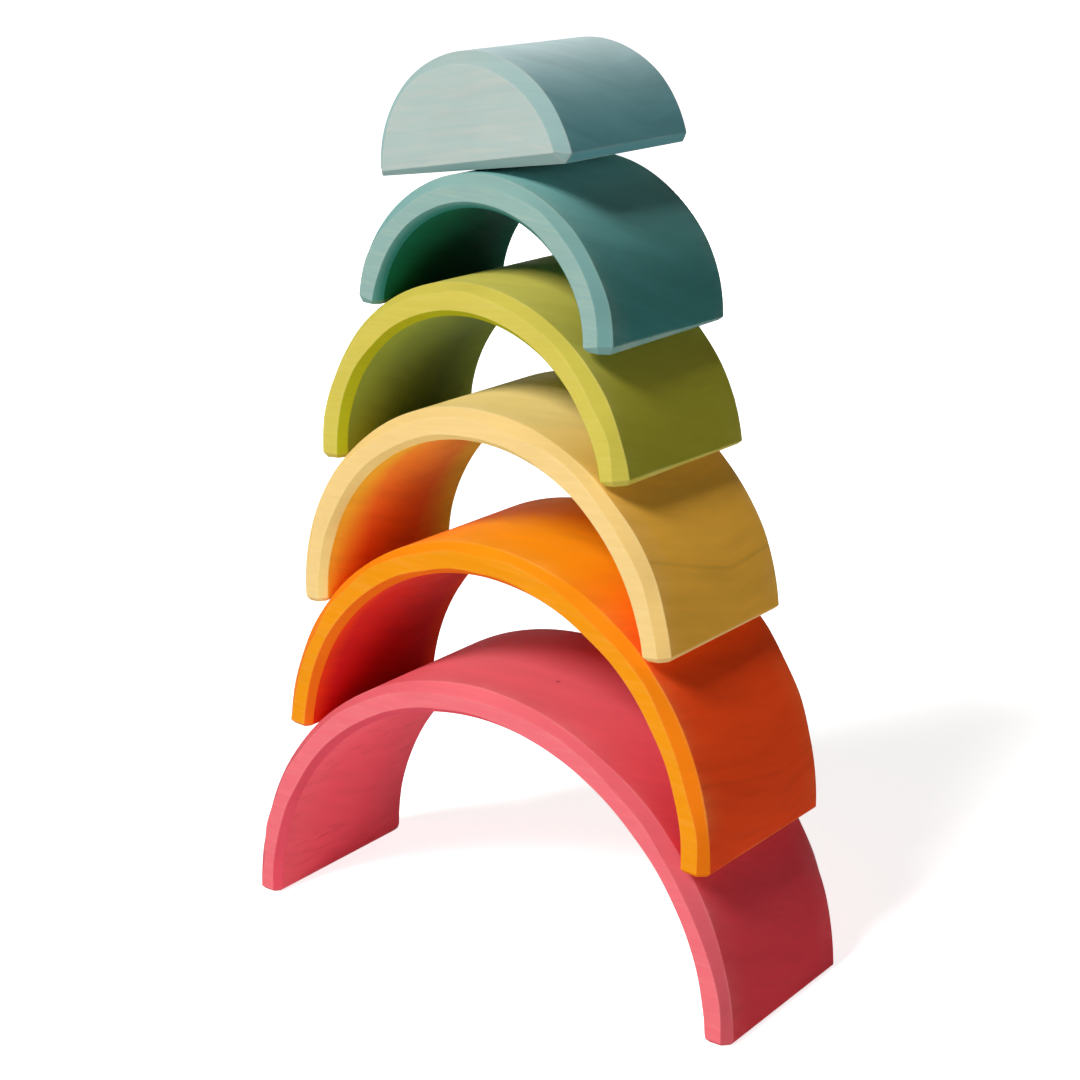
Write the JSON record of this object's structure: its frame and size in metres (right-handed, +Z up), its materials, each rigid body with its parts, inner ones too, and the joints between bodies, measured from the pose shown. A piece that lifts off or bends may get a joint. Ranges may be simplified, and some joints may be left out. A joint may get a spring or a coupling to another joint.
{
  "type": "rainbow stacker",
  "caption": "Wooden stacking rainbow toy: stained half-ring arches and a half-round core block, each lifting off the crown below, stacked as a leaning tower.",
  "frame": {"origin": "on the ground under the middle of the whole stack", "axes": "+X from the left foot of the largest arch to its right foot, +Y from the front faces to the back faces, +Z up the stack"},
  "size_m": [0.17, 0.0672, 0.2553],
  "materials": {
    "pink_stain": "sanded wood, water-based pink stain, satin",
    "orange_stain": "sanded wood, water-based orange stain, satin",
    "yellow_stain": "sanded wood, water-based yellow stain, satin",
    "green_stain": "sanded wood, water-based green stain, satin",
    "teal_stain": "sanded wood, water-based teal stain, satin",
    "blue_stain": "sanded wood, water-based blue stain, satin"
  },
  "bodies": {
    "pink_arch": {"pink_arch": "pink_stain"},
    "orange_arch": {"orange_arch": "orange_stain"},
    "yellow_arch": {"yellow_arch": "yellow_stain"},
    "green_arch": {"green_arch": "green_stain"},
    "teal_arch": {"teal_arch": "teal_stain"},
    "core_block": {"blue_half_round": "blue_stain"}
  },
  "joints": [
    {"name": "orange_lift", "type": "slide", "parent": "pink_arch", "child": "orange_arch", "axis": [0, 0, 1], "range_m": [0, 0.05]},
    {"name": "yellow_lift", "type": "slide", "parent": "orange_arch", "child": "yellow_arch", "axis": [0, 0, 1], "range_m": [0, 0.04]},
    {"name": "green_lift", "type": "slide", "parent": "yellow_arch", "child": "green_arch", "axis": [0, 0, 1], "range_m": [0, 0.035]},
    {"name": "teal_lift", "type": "slide", "parent": "green_arch", "child": "teal_arch", "axis": [0, 0, 1], "range_m": [0, 0.03]},
    {"name": "core_lift", "type": "slide", "parent": "teal_arch", "child": "core_block", "axis": [0, 0, 1], "range_m": [0, 0.03]}
  ]
}
